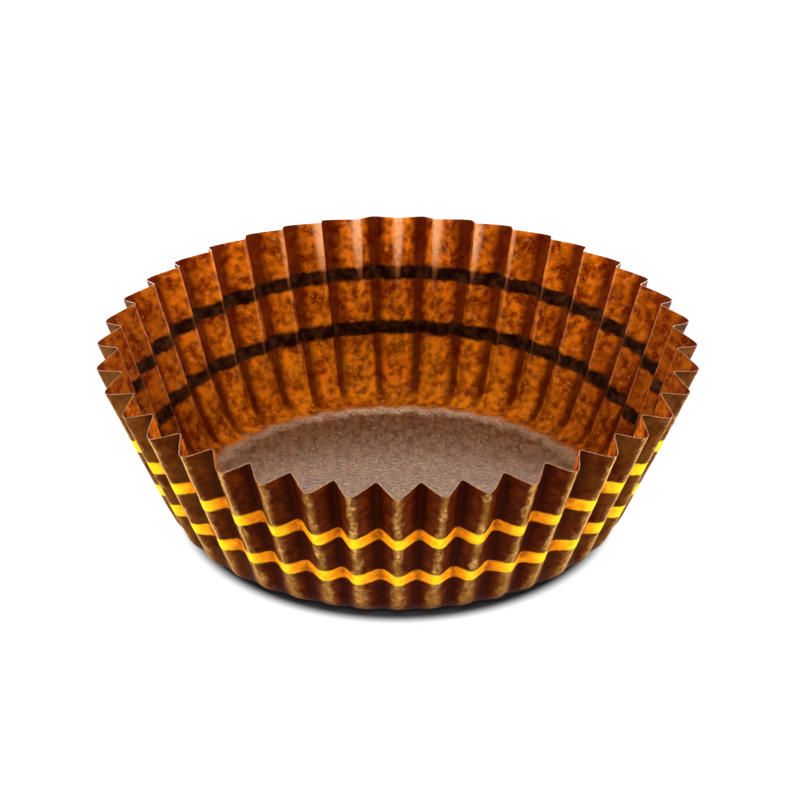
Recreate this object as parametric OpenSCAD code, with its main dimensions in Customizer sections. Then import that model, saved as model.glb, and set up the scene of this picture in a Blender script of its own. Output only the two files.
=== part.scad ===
// Pleated paper baking cup, drawn in millimetres.
//
// The real cup is pressed from one flat disc of thin greaseproof paper. The middle of the disc stays
// flat and becomes the floor, inside a crisp crease. The margin turns up from there round a soft heel
// and has to gather as it rises, because a ring of it now has less room than it had in the flat disc.
// It gathers into flutes.
//
// The flutes are worked out from that fact. At every distance from the middle, a flute holds as much
// paper as its share of the flat disc's circle. The flutes so start from nothing at the floor, deepen
// up the wall, and the disc's round edge comes out as the zigzag rim.
//
// The press spaces them evenly, and handling moves them. The cup of the photograph is a little
// crowded at its front and back, and at the back its flutes lean over.

/* [Cup] */
// Diameter of the flat floor
floor_d = 33.2; // [26:0.2:38]
// Diameter of the rim, midway between its outward and inward folds
rim_d = 46.6; // [42:0.2:60]
// Height of the rim, midway between its outward and inward folds
height = 14.2; // [9:0.1:24]
// Radius of the soft heel between the floor and the wall
heel_r = 2.6; // [0.8:0.1:3.6]
// Angle of the crisp crease round the floor, where the paper first leaves the table
floor_crease = 12; // [0:1:30]

/* [Flutes] */
// Number of flutes round the wall
flutes = 39; // [28:1:44]
// Share of a flute's width over which its outward crease is rounded at the rim
outward_round = 0.14; // [0.02:0.01:0.22]
// Share of a flute's width over which its inward crease is rounded at the rim
inward_round = 0.05; // [0.02:0.01:0.22]
// Share of a flute's width over which both creases are rounded at the foot of the wall
foot_round = 0.22; // [0.02:0.01:0.22]

/* [Handling] */
// Angle by which the flutes crowd towards the front and the back of the cup
crowding = 2.3; // [0:0.1:3]
// Angle by which the outward creases at the back lean towards the front
leaning = 2.4; // [0:0.1:3]

/* [Paper] */
// Thickness of the paper
paper_t = 0.06; // [0.04:0.01:0.12]
// Colour of the paper
paper_colour = "#5a2a10";

/* [Hidden] */

// Rings of points up the heel and up the wall, and how much closer the wall's rings are at its foot
heel_rings = 3;
wall_rings = 5;
closer = 1.4;

floor_r = floor_d / 2;
rim_r = rim_d / 2;

// The heel's arc starts at the crease's angle, which gives its centre. The straight wall leaves it
// along a tangent that ends at the rim. The lean is the wall's slope above the table.
heel_centre = [floor_r - heel_r * sin(floor_crease), heel_r * cos(floor_crease)];
to_rim = [rim_r, height] - heel_centre;
lean = atan2(to_rim[1], to_rim[0]) + asin(heel_r / norm(to_rim));
wall_len = sqrt(to_rim * to_rim - heel_r * heel_r);
heel_len = heel_r * (lean - floor_crease) * PI / 180;

// Distances along the paper, from the edge of the floor to the edge of the disc
stations = concat(
    [for (i = [0:heel_rings]) heel_len * i / heel_rings],
    [for (i = [1:wall_rings]) heel_len + wall_len * pow(i / wall_rings, closer)]
);
edge = heel_len + wall_len;

// Slope of the sheet at distance s, with its folds left out
function slope(s) = floor_crease + (lean - floor_crease) * min(s / heel_len, 1);

// Radius and height of the sheet at distance s, with its folds left out
function profile(s) =
    let (a = slope(s), up = max(s - heel_len, 0))
    heel_centre + heel_r * [sin(a), -cos(a)] + up * [cos(a), sin(a)];

// Depth of a sharp fold at distance s. One flank is the slanting side of a triangle that stands on
// half a flute's width, and its length is what the flat disc has there.
function fold_depth(s) =
    let (
        flank = PI * (floor_r + s) / flutes,
        half_width = PI * profile(s)[0] / flutes
    )
    sqrt(max(flank * flank - half_width * half_width, 0));

// Share of a flute's width over which a crease is rounded at distance s, from its share at the rim
function rounding(s, at_rim) = foot_round + (at_rim - foot_round) * s / edge;

// Height of the folded sheet above the middle of its fold, for a sharp fold one unit deep. The place
// across the flute runs from 0 at the outward crease to 0.5 at the inward one, which are rounded
// over the shares o and i. There the sharp fold gives way to a parabola that touches both flanks.
// A rounded crease is a short cut, so the flanks get steeper until the paper is used up again.
function fold(place, o, i) =
    (place < o ? 0.5 - o - place * place / o :
     place > 0.5 - i ? i - 0.5 + pow(0.5 - place, 2) / i :
     0.5 - 2 * place) / sqrt(1 - (o + i) * 4 / 3);

// Angle from the front at a place round the cup, counted in flutes. Outward creases have whole
// numbers. Their leaning starts at the sides of the cup, changes sides at its very back, and fades
// out towards the inward creases.
change_over = 12;
function crowded(at) = 360 * at / flutes - crowding * sin(720 * at / flutes);
function lean_over(at) =
    let (a = crowded(at))
    leaning * pow(min(cos(a), 0), 2) * max(min((180 - a) / change_over, 1), -1);
function turn(at) = crowded(at) - lean_over(round(at)) * (1 - 2 * abs(at - round(at)));

// Width of a flute at that place, as a share of an even one
function spread(at) = 1 - 2 * crowding * cos(720 * at / flutes) * PI / 180;

// Places of the points across one flute: both shoulders and the top of each of its two creases
function places(o, i) = [-o, 0, o, 0.5 - i, 0.5, 0.5 + i];
per_flute = len(places(outward_round, inward_round));
around = flutes * per_flute;

// One ring of points of the sheet's outer face at distance s, from the flute at the front round. The
// folds stand square to the sheet, so on the leaning wall the inward creases reach higher.
function sheet_ring(s) =
    let (o = rounding(s, outward_round), i = rounding(s, inward_round), at = profile(s))
    [for (flute = [0:flutes - 1], place = places(o, i))
        let (
            sharp = fold_depth(s) * spread(flute + place),
            off = sharp * fold(abs(place > 0.5 ? 1 - place : place), o, i),
            r = at[0] + off * sin(slope(s)),
            a = turn(flute + place)
        )
        [r * sin(a), -r * cos(a), at[1] - off * cos(slope(s))]
    ];

// The outer face, one closed ring of points for each station
outer = [for (s = stations) sheet_ring(s)];

// Direction into the cup at a point of the outer face, from its four neighbours
function unit(v) = v / norm(v);
function inward(ring, j) =
    let (
        along = outer[ring][(j + 1) % around] - outer[ring][(j + around - 1) % around],
        up = outer[min(ring + 1, len(stations) - 1)][j] - outer[ring - 1][j]
    )
    unit(cross(up, along));

// The inner face lies one thickness of paper inside the outer one
inner = [for (ring = [0:len(stations) - 1]) [
    for (j = [0:around - 1])
        outer[ring][j] + paper_t * (ring == 0 ? [0, 0, 1] : inward(ring, j))
]];

// Two triangles for each gap between a ring of points and the next, first and second being the
// numbers of their first points
function band(first, second) = [
    for (j = [0:around - 1])
        let (k = (j + 1) % around)
        each [
            [first + j, second + j, second + k],
            [first + j, second + k, first + k]
        ]
];
function flipped(faces) = [for (f = faces) [f[2], f[1], f[0]]];

// Number of the first point of a ring, outer rings first, then inner rings
function outer_ring(i) = i * around;
function inner_ring(i) = (len(stations) + i) * around;
last = len(stations) - 1;

// The two flat faces of the floor, each a fan of triangles round its own middle point
function fan(centre, first) = [for (j = [0:around - 1]) [centre, first + j, first + (j + 1) % around]];
floor_under = 2 * len(stations) * around;
floor_top = floor_under + 1;

// The cup, one sheet of paper from edge to edge
module paper_cup() {
    color(paper_colour)
    polyhedron(
        points = concat(
            [for (ring = outer) each ring],
            [for (ring = inner) each ring],
            [[0, 0, 0], [0, 0, paper_t]]
        ),
        faces = concat(
            fan(floor_under, outer_ring(0)),
            flipped(fan(floor_top, inner_ring(0))),
            [for (i = [0:last - 1]) each band(outer_ring(i), outer_ring(i + 1))],
            [for (i = [0:last - 1]) each flipped(band(inner_ring(i), inner_ring(i + 1)))],
            band(outer_ring(last), inner_ring(last))
        ),
        convexity = 10
    );
}

paper_cup();
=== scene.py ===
# %% [markdown]
# # A pleated paper baking cup
#
# The object is one disc of thin brown greaseproof paper, pressed into a shallow cup. Its middle is
# the flat floor, its margin stands up as a wall of 39 flutes, and two gold lines are printed round
# the outside. Nothing is glued, so the whole cup is one sheet, and this script builds it as one mesh.
#
# A paper cup lives by three things: folds that follow the rules of paper, a sheet so thin that light
# comes through it, and wear on the ridges that a hand or a table can reach. The cells below take
# them in that order, with painted light on the ridges and painted shade in the valleys. Table, light
# and camera come last.

# %% Load the imported model
import math

import bpy
import numpy as np
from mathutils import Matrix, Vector, noise


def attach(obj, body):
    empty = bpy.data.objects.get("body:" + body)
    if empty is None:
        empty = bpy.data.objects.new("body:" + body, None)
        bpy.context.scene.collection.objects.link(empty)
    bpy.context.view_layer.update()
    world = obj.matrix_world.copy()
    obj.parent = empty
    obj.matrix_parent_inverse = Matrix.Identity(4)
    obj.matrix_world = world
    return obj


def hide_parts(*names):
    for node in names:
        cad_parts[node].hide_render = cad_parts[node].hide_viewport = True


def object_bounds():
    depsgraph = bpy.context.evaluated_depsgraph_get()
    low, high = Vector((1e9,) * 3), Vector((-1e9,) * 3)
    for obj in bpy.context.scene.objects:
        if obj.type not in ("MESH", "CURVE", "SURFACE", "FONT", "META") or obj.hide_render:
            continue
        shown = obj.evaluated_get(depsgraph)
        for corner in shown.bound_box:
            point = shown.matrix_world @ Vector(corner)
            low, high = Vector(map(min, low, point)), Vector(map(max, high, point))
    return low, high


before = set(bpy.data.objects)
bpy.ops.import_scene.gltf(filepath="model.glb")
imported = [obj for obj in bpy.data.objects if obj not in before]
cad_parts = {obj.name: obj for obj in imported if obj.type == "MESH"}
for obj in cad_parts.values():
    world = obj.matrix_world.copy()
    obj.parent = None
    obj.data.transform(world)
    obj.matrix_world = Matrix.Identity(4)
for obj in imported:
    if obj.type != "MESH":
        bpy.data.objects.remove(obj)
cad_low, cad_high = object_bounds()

print("solid cup, mm:", [round(1000 * (b - a), 2) for a, b in zip(cad_low, cad_high)])

# %% [markdown]
# ## The sheet before it is folded
#
# A press pushes the middle of the disc down. It leaves a crisp crease round the floor, and from there
# the margin turns up round a soft heel. Drawn from the side, without its folds, the sheet is a flat
# line, an arc and a straight line. A profile could be drawn by hand and spun, but a formula keeps one
# useful thing: the distance along the paper. The folds, the print and the grain all depend on it. The
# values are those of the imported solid.

# %% The sheet from the side
MM = 0.001
FLOOR_R = 16.6 * MM
FLOOR_CREASE = math.radians(12)
HEEL_R = 2.6 * MM
RIM_R = 23.3 * MM
HEIGHT = 14.2 * MM
PAPER = 0.06 * MM

heel_centre = FLOOR_R - HEEL_R * math.sin(FLOOR_CREASE), HEEL_R * math.cos(FLOOR_CREASE)
reach, rise = RIM_R - heel_centre[0], HEIGHT - heel_centre[1]
LEAN = math.atan2(rise, reach) + math.asin(HEEL_R / math.hypot(reach, rise))
HEEL_LEN = HEEL_R * (LEAN - FLOOR_CREASE)
EDGE = HEEL_LEN + math.sqrt(reach**2 + rise**2 - HEEL_R**2)
DISC_R = FLOOR_R + EDGE


def profile(s):
    """Slope, radius and height of the unfolded sheet, s metres up the paper from the floor's edge."""
    slope = FLOOR_CREASE + (LEAN - FLOOR_CREASE) * np.clip(s / HEEL_LEN, 0, 1)
    up = np.maximum(s - HEEL_LEN, 0)
    radius = heel_centre[0] + HEEL_R * np.sin(slope) + up * np.cos(slope)
    level = heel_centre[1] - HEEL_R * np.cos(slope) + up * np.sin(slope)
    return slope, radius + np.minimum(s, 0), level


print(f"flat disc {2000 * DISC_R:.1f} mm across, wall leans at {math.degrees(LEAN):.1f} degrees")

# %% [markdown]
# ## Where the creases run
#
# Thirty-nine flutes mean 78 creases, every second one outward. The press spaces them evenly, and
# handling moves them. On this cup they are a little crowded at the front and the back, and in the rear
# half the outward creases lean to the front, so a flute has one wide flank and one narrow one. An
# Array modifier would repeat one flute exactly. A list of angles costs no more, and lets every crease
# be its own: a small scatter from a seeded draw comes on top, and each crease wanders a little between
# the rim and the foot.

# %% Crease angles at the rim and at the foot
FLUTES = 39
CREASES = 2 * FLUTES
CROWDING = math.radians(2.3)
LEANING = math.radians(2.4)
CHANGE_OVER = math.radians(12)
RIM_SCATTER, FOOT_SCATTER = 0.25, 0.3  # degrees
draw = np.random.default_rng(11)

even = np.arange(CREASES) * 2 * math.pi / CREASES
outward = np.arange(CREASES) % 2 == 0
crowded = even - CROWDING * np.sin(2 * even)
lean_over = LEANING * np.minimum(np.cos(crowded), 0) ** 2 * outward
lean_over *= np.clip((math.pi - crowded) / CHANGE_OVER, -1, 1)
rim_turn = crowded - lean_over + np.radians(draw.normal(0, RIM_SCATTER, CREASES))
foot_turn = rim_turn + np.radians(draw.normal(0, FOOT_SCATTER, CREASES))

widths = np.degrees(np.diff(np.append(rim_turn, rim_turn[0] + 2 * math.pi)))
print(f"flanks {widths.min():.1f} to {widths.max():.1f} degrees wide")

# %% [markdown]
# ## How deep the folds are
#
# Paper doesn't stretch. A ring of the margin is as long after the pressing as it was in the flat disc,
# but the cup has less room for it, so it must zigzag. A depth could be chosen by eye, but then the rim
# and the foot never look right together. Here one flank is the slanting side of a right-angled
# triangle whose other side is its share of the cup's ring. That gives the depth at every height, from
# nothing at the floor to about 1.7 mm at the rim, a little more where the flutes are wider. A rounded
# crease is a short cut, so the flanks get steeper until the paper is used up again.

# %% Fold depth and rounding
OUT_ROUND, IN_ROUND, FOOT_ROUND = 0.3, 0.12, 0.44


def sharp_depth(s):
    """Depth of a sharp fold for each radian of flank, s metres up the paper."""
    flat, radius = FLOOR_R + s, profile(s)[1]
    return np.sqrt(np.maximum(flat**2 - radius**2, 0))


def rounding(s, at_rim):
    """Share of a flank that a crease's curve takes up, from the foot to the rim."""
    return FOOT_ROUND + (at_rim - FOOT_ROUND) * np.clip(s / EDGE, 0, 1)


print(f"sharp folds would be {1000 * sharp_depth(EDGE) * math.pi / FLUTES:.2f} mm deep at the rim")

# %% [markdown]
# ## A grid over the sheet
#
# The mesh is a grid. Its rows run round the cup at chosen distances up the paper, and its columns run
# up the flanks. An even grid would waste points on the straight flanks and cut the creases to corners,
# so the columns crowd where the creases bend, and the rows where the sheet turns up from the floor.

# %% Rows and columns
ACROSS = np.array([0, 0.05, 0.12, 0.21, 0.34, 0.5, 0.66, 0.79, 0.88, 0.95])
FLOOR_ROWS = -np.array([2.0, 1.1, 0.5, 0.2, 0.06]) * MM
HEEL_ROWS, WALL_ROWS = 11, 31
HEEL_CROWDING, WALL_CROWDING = 1.5, 1.15

rows = np.concatenate([
    FLOOR_ROWS,
    HEEL_LEN * np.linspace(0, 1, HEEL_ROWS, endpoint=False) ** HEEL_CROWDING,
    HEEL_LEN + (EDGE - HEEL_LEN) * np.linspace(0, 1, WALL_ROWS) ** WALL_CROWDING,
])
flank = np.repeat(np.arange(CREASES), len(ACROSS))
place = np.tile(ACROSS, CREASES)
COLUMNS = len(flank)
print(f"{len(rows)} rows of {COLUMNS} points")

# %% [markdown]
# ## The folds
#
# Between two creases the paper is flat, and each crease is a narrow curve. A Bevel modifier could round
# sharp creases, but not by a width that changes from foot to rim. So a flank is written as a straight
# line from one crease to the next, less a parabola at each end. Both flanks of a crease use the same
# height and the same curve, so they meet without a step even where one is wider than the other.

# %% Height of the folds over the middle of the sheet
s = rows[:, None]
turns = foot_turn + (rim_turn - foot_turn) * np.clip(s / EDGE, 0, 1)
spans = np.roll(turns, -1, axis=1) - turns
spans[:, -1] += 2 * math.pi
turn = turns[:, flank] + spans[:, flank] * place

sign = np.where(outward, 1.0, -1.0)
curve = np.where(sign > 0, rounding(s, OUT_ROUND), rounding(s, IN_ROUND))
steeper = 1 / np.sqrt(1 - (curve + np.roll(curve, -1, axis=1)) * 2 / 3)
depth = spans * sharp_depth(np.maximum(s, 0)) * steeper

tip = sign * (depth + np.roll(depth, 1, axis=1)) / 4
drop = tip - np.roll(tip, -1, axis=1)
cut = (drop - np.roll(drop, 1, axis=1)) / 4 * curve


def after(values):
    """The value of the crease at a flank's far end."""
    return np.roll(values, -1, axis=1)[:, flank]


fold = tip[:, flank] - drop[:, flank] * place
fold -= cut[:, flank] * np.clip(1 - place / curve[:, flank], 0, 1) ** 2
fold -= after(cut) * np.clip(1 - (1 - place) / after(curve), 0, 1) ** 2
depths = 1000 * np.abs(np.diff(fold[-1, place == 0]))
print(f"folds {depths.min():.2f} to {depths.max():.2f} mm deep at the rim")

# %% [markdown]
# ## Into the round
#
# The folds now have to stand on the leaning wall. Pushing them straight out would be simplest, but a
# real flute stands square to the sheet, which is why the inward tips of a cup are higher than the
# outward ones. A last, slow ripple of a few hundredths of a millimetre keeps the flanks from looking
# like tin. It starts part of the way up the heel, so that the floor stays flat.

# %% The outer face, with a slow ripple
RIPPLE = 0.05 * MM
RIPPLE_SIZE = 2.6 * MM
RIPPLE_FROM = 0.3  # share of the heel

slope, ring_r, level = profile(s)
loose = np.array([
    [noise.noise(Vector((r * math.sin(a), r * math.cos(a), z)) / RIPPLE_SIZE) for a in around]
    for r, z, around in zip(ring_r[:, 0], level[:, 0], turn)
])
off = fold + RIPPLE * np.clip(s / HEEL_LEN - RIPPLE_FROM, 0, 1) * loose

out = ring_r + off * np.sin(slope)
up = np.maximum(level - off * np.cos(slope), 0)
outer = np.stack([out * np.sin(turn), -out * np.cos(turn), up], axis=-1)
print(f"outer face reaches {1000 * np.abs(outer[..., 0]).max():.2f} mm sideways")

# %% [markdown]
# ## Thickness
#
# A single layer of faces would render, but a real sheet has a cut edge that shows pale at the rim, and
# a closed solid can also be measured or printed. Solidify could thicken the sheet. Here the inner face
# is made directly instead, one thickness along the surface's own normals, because its points are then
# known to the code that lays the flat pattern on them. The scatter can push a tip past the packed
# solid, so both faces are then shrunk by a hair until they fit.

# %% The inner face
around_way = np.roll(outer, -1, axis=1) - np.roll(outer, 1, axis=1)
up_way = np.gradient(outer, axis=0)
normals = np.cross(up_way, around_way)
normals[rows <= 0] = (0, 0, 1)
normals /= np.linalg.norm(normals, axis=-1, keepdims=True)
inner = outer + PAPER * normals

packed = np.array([cad_high.x, cad_high.y, cad_high.z])
reached = np.abs(np.concatenate([outer, inner])).max(axis=(0, 1))
inside_packed = min(1.0, (packed / reached).min())
outer, inner = outer * inside_packed, inner * inside_packed
print(f"inner face stands {1000 * inner[..., 2].max():.2f} mm high, at {100 * inside_packed:.1f}%")

# %% [markdown]
# ## Rings on the floor
#
# The floor is flat, and one large face could fill it, but a face with 780 corners shades badly. All
# those columns can't run to the middle either, or they would meet there in needles. A ring nearer the
# middle keeps every second, third or fifth point, so the triangles stay about even.

# %% Rings from the grid to the middle
RING_GAP, RING_SHARE = 0.9 * MM, 0.11
LAST_RING = 0.7 * MM
POINT_GAP = 0.7 * MM


def floor_rings(radius, points):
    """Radius and number of points of each ring inside the grid, down to the last before the middle."""
    while radius > 1.5 * MM:
        radius = max(radius - max(RING_GAP, RING_SHARE * radius), LAST_RING)
        fewer = next((d for d in (2, 3, 5) if points % d == 0), 1)
        if 2 * math.pi * radius / points < POINT_GAP / fewer:
            points //= fewer
        yield radius, points


centre_rings = list(floor_rings(FLOOR_R + rows[0], COLUMNS))
print("points in the floor's rings:", [n for _, n in centre_rings])

# %% [markdown]
# ## All the points, twice
#
# Each point gets two places. One is where it is in the cup, the other where it was in the flat disc.
# Blender could unwrap the finished mesh, but it would have to guess the flat shape. Here it is known:
# a point of the sheet keeps its distance from the middle, measured along the paper.

# %% Points of both faces, with their places in the flat disc
floor_turn = turn[0]


def on_circle(radius, angles):
    """Points round the middle of the disc, at angles from the front."""
    return radius * np.stack([np.sin(angles), -np.cos(angles)], axis=-1)


def face_points(grid, middle_z):
    """All points of one face of the sheet, its flat-pattern places, and its rings of point numbers."""
    points, flat, rings = [], [], []
    for row, line in zip(rows[::-1], grid[::-1]):
        rings.append(range(len(points), len(points) + COLUMNS))
        points.extend(line)
        flat.extend(on_circle(FLOOR_R + row, floor_turn))
    for radius, n in centre_rings:
        rings.append(range(len(points), len(points) + n))
        spots = on_circle(radius, floor_turn[:: COLUMNS // n])
        points.extend((x, y, middle_z) for x, y in spots)
        flat.extend(spots)
    points.append((0, 0, middle_z))
    flat.append((0, 0))
    return points, flat, rings


under_points, flat_places, under_rings = face_points(outer, 0.0)
top_points, _, top_rings = face_points(inner, PAPER)
count = len(under_points)
print(f"{count} points on each face")

# %% [markdown]
# ## Faces
#
# A sheet of paper is two faces and the narrow band that joins them at the cut edge, so the mesh is
# closed. Bridging the rings with Blender's own tool would work, but it numbers the faces its own way.
# Made one by one, the order says which faces lie outside, inside and on the edge, and the finishes use
# that later.

# %% Faces between the rings
def strip(wide, narrow):
    """Faces from one ring of points to the next one inward, which has as many or a share of them."""
    n, step = len(narrow), len(wide) // len(narrow)
    for i in range(n):
        a, b = narrow[i], narrow[(i + 1) % n]
        edge = [wide[(i * step + j) % len(wide)] for j in range(step + 1)]
        if step == 1:
            yield (*edge, b, a)
            continue
        for j, (c, d) in enumerate(zip(edge, edge[1:])):
            yield (c, d, a if 2 * j < step else b)
        yield (edge[(step + 1) // 2], b, a)


def one_face(rings, middle, shift, flip):
    """The faces of one side of the sheet, point numbers shifted, turned over where flip says so."""
    faces = [f for wide, narrow in zip(rings, rings[1:]) for f in strip(wide, narrow)]
    last = rings[-1]
    faces += [(last[i], last[(i + 1) % len(last)], middle) for i in range(len(last))]
    return [tuple(shift + v for v in (f[::-1] if flip else f)) for f in faces]


outside_faces = one_face(under_rings, count - 1, 0, True)
inside_faces = one_face(top_rings, count - 1, count, False)
edge_faces = [
    (i, (i + 1) % COLUMNS, (i + 1) % COLUMNS + count, i + count) for i in range(COLUMNS)
]
print(f"{len(outside_faces)} faces outside, as many inside, {len(edge_faces)} on the cut edge")

# %% The mesh, smooth apart from its cut edge
CRISP = math.radians(60)

mesh = bpy.data.meshes.new("pleated_sheet")
mesh.from_pydata([*under_points, *top_points], [], outside_faces + inside_faces + edge_faces)
mesh.validate(verbose=True)
for polygon in mesh.polygons:
    polygon.use_smooth = True
mesh.set_sharp_from_angle(angle=CRISP)

cup = bpy.data.objects.new("pleated_sheet", mesh)
bpy.context.collection.objects.link(cup)
triangles = sum(len(p.vertices) - 2 for p in mesh.polygons)
print(f"{len(mesh.vertices)} points, {triangles} triangles")

# %% [markdown]
# ## The flat pattern as a map
#
# The lines were printed on the sheet while it was flat, as two plain rings. So the map that the
# materials read is the flat disc itself, in metres. A ring drawn there wraps round the folds exactly
# as the real print does, wavy from the side and perfectly round in the flat. Paper grain drawn there
# isn't stretched by the folds either. One more number is stored for each point: where it lies between
# an outward crease, 1, and an inward one, -1, because the ridges get wear and painted light, and the
# valleys painted shade.

# %% Write the flat pattern and the folds to the mesh
flat_map = mesh.uv_layers.new(name="flat_sheet")
point_of_corner = np.empty(len(mesh.loops), dtype=np.int32)
mesh.loops.foreach_get("vertex_index", point_of_corner)
both_faces = np.array(flat_places + flat_places)
flat_map.data.foreach_set("uv", both_faces[point_of_corner].ravel())

out_or_in = np.zeros(count)
out_or_in[: len(rows) * COLUMNS] = np.tile(sign[flank] * (1 - 2 * place), len(rows))
stored = mesh.attributes.new("fold_side", "FLOAT", "POINT")
stored.data.foreach_set("value", np.tile(out_or_in, 2).astype(np.float32))
print(f"flat pattern spans {1000 * np.ptp(both_faces[:, 0]):.1f} mm")

# %% [markdown]
# ## Helpers for nodes
#
# A Cycles material is a graph of small nodes. It could be drawn in the shader editor, or written out
# one link at a time, but both are long and hard to read again. A few helpers make a node, set its
# inputs and hand back its output. An input may be a number, a colour or another node's output.

# %% Nodes
def new_material(name):
    """An empty material and its node tree."""
    material = bpy.data.materials.new(name)
    material.use_nodes = True
    material.node_tree.nodes.clear()
    return material, material.node_tree


def add(tree, kind, inputs, out=0, **settings):
    """A node of that kind with its inputs set or linked. Gives back one of its outputs."""
    node = tree.nodes.new(kind)
    for name, value in settings.items():
        setattr(node, name, value)
    for key, value in inputs.items():
        if isinstance(value, bpy.types.NodeSocket):
            tree.links.new(value, node.inputs[key])
        else:
            node.inputs[key].default_value = value
    return node.outputs[out]


def finish(tree, shader, out="ShaderNodeOutputMaterial"):
    """Hands a shader to the material or world."""
    tree.links.new(shader, tree.nodes.new(out).inputs["Surface"])
    print(f"{len(tree.nodes)} nodes in this finish")


def blend_colours(tree, factor, a, b):
    """From colour a to colour b by a factor of 0 to 1."""
    return add(tree, "ShaderNodeMix", {0: factor, 6: a, 7: b}, out=2, data_type="RGBA")


print("node helpers:", [helper.__name__ for helper in (new_material, add, finish, blend_colours)])

# %% [markdown]
# ## Masks
#
# Nearly every finish on this cup is laid on through a mask: a number that is 0 where the finish isn't
# and 1 where it is. A mask could be a painted picture, but that has a fixed sharpness and has to be
# painted again when the shape changes. Here a mask starts from something measured, such as a distance
# or a noise, and is stretched so that one value of it means none and another one full.

# %% Sums on masks
def maths(tree, operation, a, b=0.0, c=0.0):
    """One sum on numbers. MULTIPLY_ADD is a times b plus c, the others use a and b."""
    return add(tree, "ShaderNodeMath", {0: a, 1: b, 2: c}, operation=operation)


def scaled(tree, value, by, plus):
    """The value times one number, plus another."""
    return maths(tree, "MULTIPLY_ADD", value, by, plus)


def times(tree, first, *more):
    """The product of masks and numbers: full only where all of them are."""
    for factor in more:
        first = maths(tree, "MULTIPLY", first, factor)
    return first


def strongest(tree, first, *more):
    """The largest of the masks at each point: full where any of them is."""
    for mask in more:
        first = maths(tree, "MAXIMUM", first, mask)
    return first


print("sums:", [helper.__name__ for helper in (maths, scaled, times, strongest)])

# %% Stretching, fading and grain
def stretch(tree, value, none, full, way="LINEAR"):
    """0 where the value has reached none, 1 where it has reached full. Either may be the larger."""
    inputs = {"Value": value, "From Min": none, "From Max": full}
    return add(tree, "ShaderNodeMapRange", inputs, interpolation_type=way)


def fade(tree, value, none, full):
    """The same with soft ends."""
    return stretch(tree, value, none, full, "SMOOTHSTEP")


def grain(tree, place, size, detail=2.0, roughness=0.55, twist=0.0):
    """Noise with blotches of that size in metres. Most of it lies between 0.3 and 0.7."""
    inputs = {"Vector": place, "Scale": 1 / size, "Detail": detail, "Roughness": roughness}
    return add(tree, "ShaderNodeTexNoise", {**inputs, "Distortion": twist})


def blotches(tree, place, size, none, full, **kind):
    """A mask made of grain."""
    return stretch(tree, grain(tree, place, size, **kind), none, full)


print("masks:", [helper.__name__ for helper in (stretch, fade, grain, blotches)])

# %% [markdown]
# ## Places on the cup
#
# A finish has to know where it is: how far up the wall, how near a ridge, at the back or at a side.
# Empties or painted weights could mark such places, but only for this one set of folds. Each is a
# short sum on the flat pattern or the stored number instead, so it stays right if a value above
# changes. All of them are in metres along the paper, or shares from 0 to 1.

# %% Where a point lies
def flat_place(tree):
    """A point's place on the flat sheet."""
    return add(tree, "ShaderNodeUVMap", {}, uv_map="flat_sheet")


def squeezed(tree, place, along):
    """Places scaled by that much along x, y and z."""
    return add(tree, "ShaderNodeVectorMath", {0: place, 1: along}, operation="MULTIPLY")


def distance_from(tree, place, middle):
    """Distance on the flat sheet from a point of it."""
    moved = add(tree, "ShaderNodeVectorMath", {0: place, 1: middle}, operation="SUBTRACT")
    return add(tree, "ShaderNodeVectorMath", {0: moved}, out=1, operation="LENGTH")


def up_the_wall(tree, radius, none, full):
    """A mask between two distances up the paper from the floor's edge."""
    return stretch(tree, radius, FLOOR_R + none, FLOOR_R + full)


def to_the_sides(tree, place, radius):
    """0 at the cup's front and back, 1 at its two sides."""
    sideways = add(tree, "ShaderNodeSeparateXYZ", {0: place})
    return maths(tree, "DIVIDE", maths(tree, "ABSOLUTE", sideways), radius)


def to_the_back(tree, place, radius):
    """-1 at the cup's front, 1 at its back."""
    return maths(tree, "DIVIDE", add(tree, "ShaderNodeSeparateXYZ", {0: place}, out=1), radius)


print(f"the paper runs {1000 * EDGE:.1f} mm up from the floor's edge")

# %% Where a point lies on its fold
def fold_side(tree):
    """1 on an outward ridge, -1 on an inward one."""
    return add(tree, "ShaderNodeAttribute", {}, out=2, attribute_name="fold_side")


def from_ridge(tree, radius, way):
    """Distance along the paper to the nearest ridge, an outward one for way 1, an inward one for -1."""
    flank_width = times(tree, radius, math.pi / FLUTES)
    return times(tree, scaled(tree, fold_side(tree), -0.5 * way, 0.5), flank_width)


print(f"a flank is {1000 * DISC_R * math.pi / FLUTES:.2f} mm wide at the edge of the disc")

# %% [markdown]
# ## The print
#
# Two rings of gold ink, 1.2 mm wide, lie 5.3 and 9.9 mm in from the disc's edge. The disc sat about
# half a millimetre off its middle in the press, so both lines run lower at the front of the cup than
# at its back. Thin bands of mesh could stand for them, but ink has no thickness, and a band would have
# to follow every fold. In the material a ring is only a distance from the print's own middle, compared
# with the line's radius. A little grain lets the ink's edge wander.

# %% Mask of the gold lines
LINES_FROM_EDGE = (5.25 * MM, 9.88 * MM)
LINE_W = 1.2 * MM
PRINT_OFF = 0.6 * MM


def printed_lines(tree, place, wander, soft):
    """1 on the two printed rings. Their edges wander by up to that many metres and are that soft."""
    bleed = scaled(tree, grain(tree, place, 1.0 * MM), 2 * wander, -wander)
    from_middle = maths(tree, "ADD", distance_from(tree, place, (0, PRINT_OFF, 0)), bleed)
    rings = []
    for inset in LINES_FROM_EDGE:
        aside = maths(tree, "ABSOLUTE", maths(tree, "SUBTRACT", from_middle, DISC_R - inset))
        rings.append(fade(tree, aside, LINE_W / 2 + soft, LINE_W / 2 - soft))
    return strongest(tree, *rings)


print("lines at", [round(1000 * (DISC_R - inset), 1) for inset in LINES_FROM_EDGE], "mm from the middle")
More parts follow.
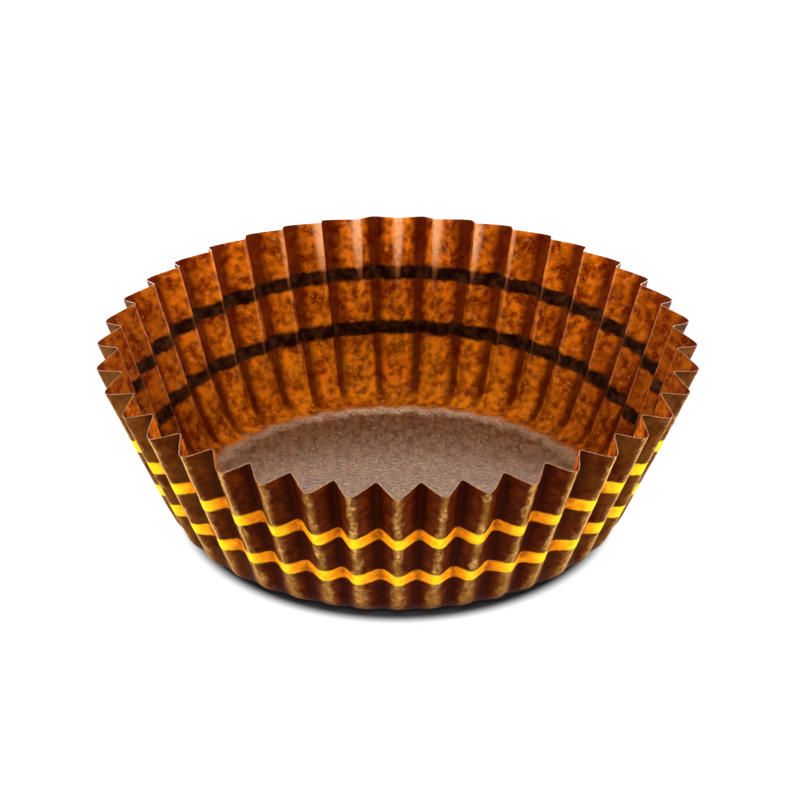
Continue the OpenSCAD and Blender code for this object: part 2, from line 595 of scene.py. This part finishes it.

# %% [markdown]
# ## Outside ridges, worn and lit
#
# An olive band runs along every outward ridge, a little wider at the foot. It is partly dye rubbed off
# where the paper stands proud, and partly painted light on the crest. In it lie pale specks: partly
# worn paper on the high points of the embossed skin, partly painted glints. At the cup's two sides a
# thin pale line along the top of each ridge is a painted highlight, and whole patches of the flanks
# are olive, painted light where the lamps graze them. A mesh's Pointiness could find the ridges, but
# its width hangs on the size of the faces. The distance to the ridge gives a band in millimetres.

# %% Masks of the worn and lit outside ridges
RAGGED = 1.3 * MM
BAND_FULL, BAND_END = 0.60 * MM, 1.35 * MM


def worn_and_lit_ridge(tree, place, radius):
    """Olive band (wear and painted light) and pale specks (wear and painted glints), as two masks."""
    away = from_ridge(tree, radius, 1)
    foot = up_the_wall(tree, radius, 7.5 * MM, 2.5 * MM)
    ragged = scaled(tree, grain(tree, place, 0.9 * MM, detail=4.0), RAGGED, away)
    band = fade(tree, scaled(tree, foot, -0.2 * MM, ragged), BAND_END, BAND_FULL)
    band = times(tree, band, up_the_wall(tree, radius, 0.8 * MM, 2.5 * MM))

    sideways = to_the_sides(tree, place, radius)
    speckle = blotches(tree, place, 0.42 * MM, 0.40, 0.68, detail=3.0)
    speckle = times(tree, speckle, blotches(tree, place, 1.9 * MM, 0.36, 0.60))
    # Painted highlight: a thin pale line on the crest, at the cup's two sides.
    crest_highlight = fade(tree, away, 0.16 * MM, 0.03 * MM)
    crest_highlight = times(tree, crest_highlight, stretch(tree, sideways, 0.30, 0.70))
    pale_specks = times(tree, strongest(tree, speckle, crest_highlight), scaled(tree, foot, -0.5, 1.0))

    # Painted light: olive patches on the flanks at the cup's two sides.
    lit_flanks = times(tree, stretch(tree, sideways, 0.55, 0.95), 0.5)
    lit_flanks = times(tree, lit_flanks, blotches(tree, place, 2.4 * MM, 0.34, 0.60, detail=3.0))
    return strongest(tree, times(tree, band, 0.85), lit_flanks), times(tree, band, pale_specks)


print(f"the olive band ends about {1000 * (BAND_END - RAGGED / 2):.1f} mm from its ridge")

# %% [markdown]
# ## Inside ridges, with a painted highlight at the back
#
# A faint pale line runs down every inward ridge and fades above the heel: wear on the crease, with
# painted highlight on it. At the back, below the rim, the line widens to a pale stripe that fades
# before it is half way down: a painted highlight, the shine on the crests. Two masks could be laid over
# each other. One is enough if the line gets wider at the back.

# %% Mask of the inside ridges' pale line and painted highlight
LINE_HALF, WIDER_AT_BACK = 0.14 * MM, 0.62 * MM
STRIPE_FULL, STRIPE_END = 1.0 * MM, 7.0 * MM


def inner_ridge_highlight(tree, place, radius):
    """1 on the painted highlight stripes below the rim at the back, and faint along every inward ridge.
    """
    at_back = stretch(tree, to_the_back(tree, place, radius), 0.87, 0.95)
    below_rim = fade(tree, maths(tree, "SUBTRACT", DISC_R, radius), STRIPE_END, STRIPE_FULL)
    at_back_below_rim = times(tree, at_back, below_rim)
    width = scaled(tree, at_back_below_rim, WIDER_AT_BACK, LINE_HALF)
    stripe = fade(tree, maths(tree, "DIVIDE", from_ridge(tree, radius, -1), width), 1.0, 0.25)
    speckle = blotches(tree, place, 0.4 * MM, 0.15, 0.50, detail=3.0)

    faint = times(tree, maths(tree, "SUBTRACT", 1.0, at_back), 0.28)
    faint = times(tree, faint, up_the_wall(tree, radius, 3.0 * MM, 7.0 * MM))
    return times(tree, stripe, speckle, scaled(tree, at_back_below_rim, 0.95, faint))


print(f"lines {2000 * LINE_HALF:.2f} mm wide, {2000 * (LINE_HALF + WIDER_AT_BACK):.2f} mm where it was held")

# %% [markdown]
# ## The frayed crease round the floor
#
# The crisp crease is the sharpest bend in the paper. Its fibres break there and stand up as a pale
# fringe, strongest at the back, a little scalloped by the flutes. It could be a particle system of
# short hairs, but at this size a hair is thinner than a pixel. So it is a ragged ring: a distance from
# the crease, pushed to and fro by coarse grain and broken up by fine grain. The fringe, and the flat
# mark that it surrounds, are an oval 7% narrower from front to back.

# %% Mask of the fringe
FLOOR_OVAL = 1.075


def oval_radius(tree, place):
    """Distance from the middle of the floor, measured so that the fringe's oval is a circle."""
    return distance_from(tree, squeezed(tree, place, (1, FLOOR_OVAL, 1)), (0, 0, 0))


def frayed_crease(tree, place, oval):
    """1 on the broken fibres along the crease round the floor."""
    beyond = maths(tree, "SUBTRACT", oval, FLOOR_R)
    scalloped = scaled(tree, fold_side(tree), -0.22 * MM, beyond)
    fray = maths(tree, "SUBTRACT", grain(tree, place, 0.6 * MM, detail=4.0, roughness=0.65), 0.5)
    ragged = scaled(tree, fray, 1.9 * MM, scalloped)
    fringe = times(tree, fade(tree, ragged, -1.3 * MM, 0.0), fade(tree, ragged, 0.8 * MM, 0.0))

    threads = blotches(tree, place, 0.3 * MM, 0.22, 0.56, detail=3.0)
    tufts = scaled(tree, blotches(tree, place, 1.6 * MM, 0.30, 0.60, detail=1.0), 0.45, 0.55)
    at_back = stretch(tree, to_the_back(tree, place, oval), 0.70, 0.96)
    return times(tree, fringe, threads, tufts, scaled(tree, at_back, 0.6, 0.4))


print(f"the fringe's oval is {2000 * FLOOR_R:.1f} by {2000 * FLOOR_R / FLOOR_OVAL:.1f} mm")

# %% [markdown]
# ## What the paper is made of
#
# Greaseproof paper is beaten pulp. Its fibres lie in clouds, thick and dark in one place, thin and
# bright in the next, and fine wrinkles run under the skin. The press also leaves it embossed with tiny
# pimples. Scanned paper would show all that, but would repeat, and this sheet is seen from close by.
# Three sizes of noise make the clouds, and the thin lines where a twisted noise crosses its middle
# value make the wrinkles.

# %% Clouds, wrinkles and embossing
BROAD, FINE, WIDEST, PIMPLE = 1.5 * MM, 0.6 * MM, 5.0 * MM, 0.34 * MM


def clouds(tree, place):
    """How thin the paper is at a place, from 0, thick and dark, to 1."""
    broad = grain(tree, place, BROAD, detail=1.0, roughness=0.5)
    fine = grain(tree, place, FINE, detail=2.0, roughness=0.5)
    both = scaled(tree, fine, 0.55, times(tree, broad, 0.45))
    tone = scaled(tree, blotches(tree, place, WIDEST, 0.30, 0.60, detail=0.0), 0.35, 0.72)
    return times(tree, stretch(tree, both, 0.41, 0.60), tone)


def crinkles(tree, place, size):
    """1 on short strokes that run every way, where a fibre or a wrinkle lies close under the skin."""
    winding = maths(tree, "SUBTRACT", grain(tree, place, size, detail=1.0, twist=1.5), 0.5)
    stroke = fade(tree, maths(tree, "ABSOLUTE", winding), 0.06, 0.01)
    return times(tree, stroke, blotches(tree, place, 0.6 * size, 0.42, 0.60))


def embossed(tree, place, height):
    """Bump of the paper's embossed skin, that many metres high."""
    pimples = grain(tree, place, PIMPLE, roughness=0.5)
    return add(tree, "ShaderNodeBump", {"Height": pimples, "Strength": 1.0, "Distance": height})


print("grain of the paper, mm:", [round(1000 * size, 2) for size in (WIDEST, BROAD, FINE, PIMPLE)])

# %% [markdown]
# ## Dark valleys, painted shade
#
# Little light gets down to the bottom of a valley. The lamps do part of that by themselves, but soft
# lamps reach further into a fold than daylight does. So the valleys get painted shade, a darker colour
# of their own. Inside, it covers more of the flank at the rim than at the foot.

# %% Masks of the painted valley shade
OUTER_NONE, OUTER_FULL = 0.1, -0.6
INNER_NONE, INNER_FULL = 0.12, 0.74
WIDER_AT_RIM = 0.32


def outer_valley_shade(tree, radius):
    """Painted shade, strong at the bottom of the valleys seen from outside."""
    bottom = stretch(tree, fold_side(tree), OUTER_NONE, OUTER_FULL)
    return times(tree, bottom, up_the_wall(tree, radius, -0.5 * MM, 1.5 * MM), 0.9)


def inner_valley_shade(tree, radius):
    """Painted shade, strong at the bottom of the valleys seen from inside."""
    to_rim = stretch(tree, radius, FLOOR_R + 1.0 * MM, DISC_R)
    reaching = scaled(tree, to_rim, WIDER_AT_RIM, fold_side(tree))
    bottom = stretch(tree, reaching, INNER_NONE, INNER_FULL)
    return times(tree, bottom, up_the_wall(tree, radius, -0.5 * MM, 1.5 * MM), 0.9)


print(f"outer valleys are darkest over {50 * (1 + OUTER_FULL):.0f}% of a flank")

# %% [markdown]
# ## Gold ink, and its back
#
# The ink is a bronze powder. Its colour carries painted light and shade: lemon yellow on the lit
# ridges, orange on the flanks, and dark orange-brown in the shaded valleys, broken up by grain. At the
# cup's two sides more of it is lemon, painted light where the lamps graze it. A metallic shader would
# mirror the lamps in every flute, and this ink is matt, so the colours alone carry it. The ink also
# stops the light. Inside the cup the two lines therefore show nearly black, with brown spots where it
# is thin.

# %% Colours of the lines
# GOLD_LIT is the ink with painted light, GOLD_SHADED the ink with painted shade.
GOLD_LIT = (1.0, 0.70, 0.012, 1)
GOLD_ORANGE = (0.95, 0.30, 0.004, 1)
GOLD_SHADED = (0.30, 0.06, 0.001, 1)
INKED_BACK = (0.009, 0.0016, 0.0006, 1)
INKED_SPOT = (0.065, 0.018, 0.005, 1)


def gold_ink(tree, place, radius):
    """Gold with painted light on ridges and sides, orange on flanks and painted shade in the valleys."""
    uneven_and_lit = scaled(tree, grain(tree, place, 0.8 * MM, detail=3.0), 2.4, fold_side(tree))
    at_sides = stretch(tree, to_the_sides(tree, place, radius), 0.5, 0.9)
    lit_gold = stretch(tree, scaled(tree, at_sides, 0.7, uneven_and_lit), 1.1, 2.2)
    colour = blend_colours(tree, stretch(tree, uneven_and_lit, -0.1, 0.9), GOLD_SHADED, GOLD_ORANGE)
    return blend_colours(tree, lit_gold, colour, GOLD_LIT)


def inked_back(tree, place):
    """The lines seen from inside, nearly black where the ink is sound."""
    return blend_colours(tree, blotches(tree, place, 0.9 * MM, 0.42, 0.70), INKED_BACK, INKED_SPOT)


print(f"the gold is {GOLD_LIT[0] / INKED_BACK[0]:.0f} times as bright as its back")

# %% [markdown]
# ## The pressed floor
#
# The floor lies on the table, so no light comes through it, and the press has flattened it. It is a
# dull brown felt with short pale fibres in it. Single fibres could be drawn as curves, thousands of
# them. The same noises as on the wall do, stretched to twice their length from front to back.

# %% Colour of the floor
FLOOR_BROWN = (0.085, 0.034, 0.011, 1)
FLOOR_FIBRE = (0.22, 0.108, 0.047, 1)
FLOOR_THREAD = (0.33, 0.19, 0.11, 1)
FELT = 0.65 * MM


def pressed_felt(tree, place):
    """Brown felt with paler fibres, and a few pale threads."""
    lengthwise = squeezed(tree, place, (1, 0.5, 1))
    fibres = blotches(tree, lengthwise, FELT, 0.38, 0.62, detail=3.0, roughness=0.65)
    felt = blend_colours(tree, fibres, FLOOR_BROWN, FLOOR_FIBRE)
    return blend_colours(tree, crinkles(tree, lengthwise, FELT), felt, FLOOR_THREAD)


print(f"felt of {1000 * FELT:.2f} by {2000 * FELT:.2f} mm blotches")

# %% [markdown]
# ## Light through the sheet
#
# Seen against light the wall glows orange, and brightest where the clouds are thin. Subsurface
# scattering could show that, but a sheet of 0.06 mm needs no volume: a Translucent shader passes the
# light that falls on the far side, and a Principled shader beside it gives the brown face and its
# shine. Ink stops the glow, and in the valleys painted shade takes it out too. The numbers of a skin
# go straight to the shader's own sockets. The wall's skin is dull, the floor's is pressed flatter and
# greasy.

# %% The shader of the sheet
GLOW = (1.0, 0.38, 0.04, 1)
DIM_GLOW = (0.45, 0.09, 0.008, 1)
NO_GLOW = (0.010, 0.003, 0.001, 1)
SEE_THROUGH = 0.20
EMBOSSED, PRESSED_FLAT = 0.045 * MM, 0.024 * MM
DULL_SKIN = {"Roughness": 0.42, "Specular IOR Level": 0.04, "Specular Tint": (1, 0.6, 0.35, 1)}
GREASY_SKIN = {
    "Roughness": 0.30, "IOR": 1.6, "Specular IOR Level": 1.0, "Specular Tint": (1, 0.75, 0.60, 1)
}


def sheet(tree, colour, relief, skin, thin, unlit, opaque):
    """A face of that colour, relief and skin, with light coming through. The rest are masks."""
    glow = blend_colours(tree, thin, DIM_GLOW, GLOW)
    # The glow gives way to NO_GLOW under the ink, and under the painted valley shade.
    glow = blend_colours(tree, unlit, glow, NO_GLOW)
    front = add(tree, "ShaderNodeBsdfPrincipled", {"Base Color": colour, "Normal": relief, **skin})
    through = add(tree, "ShaderNodeBsdfTranslucent", {"Color": glow})
    share = times(tree, maths(tree, "SUBTRACT", 1.0, opaque), SEE_THROUGH)
    return add(tree, "ShaderNodeMixShader", {0: share, 1: front, 2: through})


print(f"{100 * SEE_THROUGH:.0f}% of the wall is glow, the rest is face")

# %% [markdown]
# ## The outside
#
# From below and behind, the cup is dark brown with olive ridges and two bright lines. Every finish
# above could be its own material on its own faces, but their edges don't follow the faces. So they are
# laid over each other in one material, in the order in which the real sheet got them: dye, press,
# wear. The painted valley shade comes after the dye, the painted light on the ridges with the wear.
# The gold comes last, because it is thick enough to outlast the rubbing.

# %% The outside's material
OUTSIDE_THICK = (0.065, 0.008, 0.0003, 1)
OUTSIDE_THIN = (0.11, 0.017, 0.0006, 1)
# OUTSIDE_VALLEY_SHADE is painted shade at the bottom of the outside valleys.
OUTSIDE_VALLEY_SHADE = (0.036, 0.003, 0.0002, 1)
# RIDGE_OLIVE and RIDGE_TAN colour the ridges: wear, with painted light and painted glints in it.
RIDGE_OLIVE = (0.26, 0.105, 0.010, 1)
RIDGE_TAN = (0.90, 0.47, 0.15, 1)


def paper_outside():
    """The outside of the sheet, with the print and the rubbed ridges."""
    material, tree = new_material("paper_outside")
    place = flat_place(tree)
    radius = distance_from(tree, place, (0, 0, 0))
    thin = clouds(tree, place)
    deep = outer_valley_shade(tree, radius)
    floor = fade(tree, oval_radius(tree, place), FLOOR_R - 0.2 * MM, FLOOR_R - 0.9 * MM)
    olive, pale_specks = worn_and_lit_ridge(tree, place, radius)
    ink = printed_lines(tree, place, wander=0.17 * MM, soft=0.10 * MM)

    colour = blend_colours(tree, thin, OUTSIDE_THICK, OUTSIDE_THIN)
    colour = blend_colours(tree, deep, colour, OUTSIDE_VALLEY_SHADE)
    colour = blend_colours(tree, floor, colour, pressed_felt(tree, place))
    colour = blend_colours(tree, olive, colour, RIDGE_OLIVE)
    colour = blend_colours(tree, pale_specks, colour, RIDGE_TAN)
    colour = blend_colours(tree, ink, colour, gold_ink(tree, place, radius))

    unlit, opaque = strongest(tree, ink, deep), strongest(tree, ink, floor, olive)
    relief = embossed(tree, place, EMBOSSED)
    finish(tree, sheet(tree, colour, relief, DULL_SKIN, thin, unlit, opaque))
    return material


mesh.materials.append(paper_outside())

# %% [markdown]
# ## The inside wall
#
# Inside, the wall faces the light that comes through the other side. Its colours are redder and much
# brighter than outside: painted light, the glow through the sheet painted into the colour. Wrinkles
# show as pale strokes. Low down at the back it turns orange in patches, a painted glow, and at the
# cup's two sides it is darker, painted shade. A plain gradient would look false, so each of these
# places has its own mask, broken up by grain.

# %% Dye of the inside wall
# The inside's colours are painted light, far brighter than the outside's for the glow through the sheet.
# INSIDE_VALLEY_SHADE is painted shade and LOW_GLOW_ORANGE a painted glow.
INSIDE_THICK = (0.20, 0.020, 0.0005, 1)
INSIDE_THIN = (0.90, 0.205, 0.005, 1)
INSIDE_VALLEY_SHADE = (0.10, 0.006, 0.0003, 1)
LOW_GLOW_ORANGE = (1.0, 0.30, 0.006, 1)
LOW_FULL, LOW_END = 5.0 * MM, 11.0 * MM


def inner_wall(tree, place, radius):
    """Inside wall colour with painted glow, and masks of its thin places and its painted shade."""
    # Painted shade: the wall is darker at the cup's two sides.
    shaded_sides = times(tree, stretch(tree, to_the_sides(tree, place, radius), 0.76, 0.98), 0.6)
    deep = strongest(tree, inner_valley_shade(tree, radius), shaded_sides)
    # Painted glow: brighter and orange low down at the back.
    low = up_the_wall(tree, radius, LOW_END, LOW_FULL)
    low = times(tree, low, stretch(tree, to_the_back(tree, place, radius), 0.4, 0.95))
    strokes = times(tree, crinkles(tree, place, 0.6 * MM), 0.7)
    thin = scaled(tree, low, 0.12, strongest(tree, clouds(tree, place), strokes))

    glow_patches = times(tree, low, blotches(tree, place, 3.5 * MM, 0.38, 0.62))
    bright = blend_colours(tree, glow_patches, INSIDE_THIN, LOW_GLOW_ORANGE)
    colour = blend_colours(tree, thin, INSIDE_THICK, bright)
    return blend_colours(tree, deep, colour, INSIDE_VALLEY_SHADE), thin, deep


print(f"the orange reaches {100 * LOW_END / EDGE:.0f}% of the way to the rim")

# %% [markdown]
# ## The whole inside, and the floor
#
# Wall, floor, painted glints, the pale ridge lines with their painted highlight, the dark backs of the
# lines and the fringe are laid over each other as on the outside. The floor's faces get the same
# material again with its greasy skin. One material could do both if its shine were driven by a mask,
# but a shine that is one plain number on each face is kept by every exporter.

# %% The inside's materials
# HIGHLIGHT_PEACH is the painted highlight on the inward ridges, GLINT the colour of painted glints.
HIGHLIGHT_PEACH = (0.90, 0.40, 0.17, 1)
GLINT = (1.0, 0.38, 0.08, 1)
FRAYED = (1.0, 0.70, 0.46, 1)


def paper_inside(name, skin, height):
    """The inside of the sheet, with that skin and embossing."""
    material, tree = new_material(name)
    place = flat_place(tree)
    radius, oval = distance_from(tree, place, (0, 0, 0)), oval_radius(tree, place)
    colour, thin, deep = inner_wall(tree, place, radius)
    floor = fade(tree, oval, FLOOR_R + 0.5 * MM, FLOOR_R - 0.2 * MM)
    # Painted glints: small bright specks in the colour, weaker in the painted valley shade and on the
    # floor.
    glints = blotches(tree, place, 0.55 * MM, 0.60, 0.76, detail=1.0)
    glints = times(tree, glints, scaled(tree, strongest(tree, deep, floor), -0.5, 0.5))
    ridge_wear_and_highlight = inner_ridge_highlight(tree, place, radius)
    ink = printed_lines(tree, place, wander=0.30 * MM, soft=0.17 * MM)
    # Where the painted highlight crosses a line, it shows over the line's dark back.
    sound = times(tree, ink, scaled(tree, ridge_wear_and_highlight, -0.7, 1.0))
    frayed = frayed_crease(tree, place, oval)

    colour = blend_colours(tree, floor, colour, pressed_felt(tree, place))
    colour = blend_colours(tree, glints, colour, GLINT)
    colour = blend_colours(tree, ridge_wear_and_highlight, colour, HIGHLIGHT_PEACH)
    colour = blend_colours(tree, sound, colour, inked_back(tree, place))
    colour = blend_colours(tree, frayed, colour, FRAYED)

    unlit, opaque = strongest(tree, ink, deep), strongest(tree, ink, floor, ridge_wear_and_highlight, frayed)
    relief = embossed(tree, place, height)
    finish(tree, sheet(tree, colour, relief, skin, thin, unlit, opaque))
    return material


mesh.materials.append(paper_inside("paper_inside", DULL_SKIN, EMBOSSED))
mesh.materials.append(paper_inside("pressed_floor", GREASY_SKIN, PRESSED_FLAT))

# %% [markdown]
# ## The cut edge
#
# At the rim the knife laid the pale fibres open, so the zigzag of the rim is drawn by a fine light
# line. An outline could be faked in the wall's material, but the edge has faces of its own, as wide as
# the paper is thick, and they need only a plain, rough, pale finish.

# %% The edge's material
FIBRE_DARK, FIBRE_PALE = (0.20, 0.08, 0.03, 1), (0.55, 0.30, 0.17, 1)


def cut_edge():
    """The rim, where the knife laid the pale fibres open."""
    material, tree = new_material("cut_edge")
    fibres = blotches(tree, flat_place(tree), 0.5 * MM, 0.3, 0.7)
    colour = blend_colours(tree, fibres, FIBRE_DARK, FIBRE_PALE)
    finish(tree, add(tree, "ShaderNodeBsdfPrincipled", {"Base Color": colour, "Roughness": 0.7}))
    return material


mesh.materials.append(cut_edge())

# %% Which face has which finish
ON_OUTSIDE, ON_INSIDE, ON_FLOOR, ON_EDGE = range(4)
HAIR = 0.001 * MM

flat_radius = np.linalg.norm(both_faces, axis=1)
kinds = [ON_OUTSIDE] * len(outside_faces)
for face in inside_faces:
    kinds.append(ON_FLOOR if flat_radius[list(face)].max() <= FLOOR_R + HAIR else ON_INSIDE)
kinds += [ON_EDGE] * len(edge_faces)
mesh.polygons.foreach_set("material_index", kinds)
for number, material in enumerate(mesh.materials):
    print(f"{material.name} on {kinds.count(number)} faces")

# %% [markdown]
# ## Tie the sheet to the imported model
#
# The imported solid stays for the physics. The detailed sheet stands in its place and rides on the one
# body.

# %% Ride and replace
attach(cup, "root")
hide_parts("paper_cup")
print("pieces:", cup.name)

# %% [markdown]
# ## The table
#
# The cup stands on a plain white table. White paint under strong lamps would do, but lamps that bring
# a table to pure white bleach the cup. So the table has a pale colour for the light that it throws
# back on the cup, and answers the camera with its own white. Close to the floor it doesn't, and there
# the camera sees the table near black: a painted contact shadow, darker than the lamps make it, which
# ends a millimetre or two outside the crease. It is a little narrower from side to side, and lies a
# little to the front.

# %% The table and its contact shadow
TABLE_SIZE = 4.0
PALE_TABLE, IN_SHADOW = (0.8, 0.8, 0.8, 1), (0.050, 0.051, 0.055, 1)
SHADOW_R, SHADOW_END = 17.3 * MM, 18.8 * MM
SHADOW_OVAL = 1.045
SHADOW_MIDDLE = (0, -0.4 * MM, 0)

bpy.ops.mesh.primitive_plane_add(size=TABLE_SIZE)
table = bpy.context.object
table.name = "table"

material, tree = new_material("white_table")
spot = squeezed(tree, add(tree, "ShaderNodeTexCoord", {}, out=3), (SHADOW_OVAL, 1, 1))
open_table = fade(tree, distance_from(tree, spot, SHADOW_MIDDLE), SHADOW_R, SHADOW_END)
seen = add(tree, "ShaderNodeLightPath", {}, out=0)
white = add(tree, "ShaderNodeEmission", {"Strength": times(tree, seen, open_table)})
# Near the cup the camera sees IN_SHADOW, a near black: a painted contact shadow.
matt = add(tree, "ShaderNodeBsdfDiffuse", {"Color": blend_colours(tree, seen, PALE_TABLE, IN_SHADOW)})
finish(tree, add(tree, "ShaderNodeAddShader", {0: matt, 1: white}))
table.data.materials.append(material)

# %% [markdown]
# ## The room
#
# A room with pale walls sends a faint, even light from all round. A lit box could be built, but the
# world does it with one number. To the camera, and in mirrored rays, the world is plain white, so the
# background is white without any more light on the cup.

# %% The world
AMBIENT = 0.2

world = bpy.data.worlds.new("studio")
bpy.context.scene.world = world
world.use_nodes = True
tree = world.node_tree
tree.nodes.clear()
seen = add(tree, "ShaderNodeLightPath", {}, out=0)
mirrored = add(tree, "ShaderNodeLightPath", {}, out=3)
strength = scaled(tree, strongest(tree, seen, mirrored), 1 - AMBIENT, AMBIENT)
sky = add(tree, "ShaderNodeBackground", {"Color": (1, 1, 1, 1), "Strength": strength})
finish(tree, sky, "ShaderNodeOutputWorld")

# %% [markdown]
# ## Soft lamps
#
# The light is soft and comes from several sides. A low lamp behind shines through the back wall, which
# is what makes its inside glow. Two low ones in front, to the left and the right, part one flank of a
# flute from the next, and two at the sides pick out the ridges there. A high one in front reaches down
# to the floor, and a high one behind brings out its greasy shine. One ring of light would be simpler,
# but would give all the flanks the same tone. Each level is low, so that colours render as written.

# %% The lamps
LAMP_FAR = 0.6


def soft_lamp(name, turn, height, size, level):
    """A soft box, turned so many degrees from the front, that lights what faces it at that level."""
    light = bpy.data.lights.new(name, "AREA")
    light.shape, light.size, light.size_y = "RECTANGLE", *size
    light.energy = level * (math.pi * LAMP_FAR) ** 2
    lamp = bpy.data.objects.new(name, light)
    bpy.context.collection.objects.link(lamp)
    a, e = math.radians(turn), math.radians(height)
    way = Vector((math.sin(a) * math.cos(e), -math.cos(a) * math.cos(e), math.sin(e)))
    lamp.location = way * LAMP_FAR
    lamp.rotation_euler = way.to_track_quat("Z", "Y").to_euler()
    print(f"{name}: {light.energy:.1f} W")


for way, side in ((-1, "left"), (1, "right")):
    soft_lamp(f"side_{side}", turn=103 * way, height=8, size=(0.25, 0.12), level=0.3)
    soft_lamp(f"front_{side}", turn=62 * way, height=9, size=(0.25, 0.2), level=0.70)
soft_lamp("front_top", turn=0, height=55, size=(0.3, 0.2), level=0.56)
soft_lamp("back", turn=180, height=2.5, size=(0.25, 0.05), level=2.9)
soft_lamp("back_top", turn=180, height=47, size=(0.3, 0.15), level=0.35)

# %% [markdown]
# ## Camera
#
# The picture looks down at nearly 29 degrees from sixteen rim radii away. A short lens close by would
# fill the frame as well, but it would make the front of the rim much larger than the back. A long lens
# keeps the two nearly alike, as in the photograph. The aim is a point on the cup's axis, a little above
# half its height.

# %% The camera
LOOK_DOWN = math.radians(28.77)
CAMERA_FAR = 0.3794
LENS, SENSOR = 213.4, 36  # millimetres
NEAREST, FARTHEST = 0.01, 10
AIM = Vector((0.0002, 0, 0.00936))

camera_data = bpy.data.cameras.new("camera")
camera_data.lens, camera_data.sensor_width = LENS, SENSOR
camera_data.clip_start, camera_data.clip_end = NEAREST, FARTHEST
camera = bpy.data.objects.new("camera", camera_data)
bpy.context.collection.objects.link(camera)
camera.location = AIM + CAMERA_FAR * Vector((0, -math.cos(LOOK_DOWN), math.sin(LOOK_DOWN)))
camera.rotation_euler = (math.pi / 2 - LOOK_DOWN, 0, 0)
bpy.context.scene.camera = camera
bpy.context.scene.view_settings.view_transform = "Standard"
print(f"camera {CAMERA_FAR / RIM_R:.0f} rim radii away")
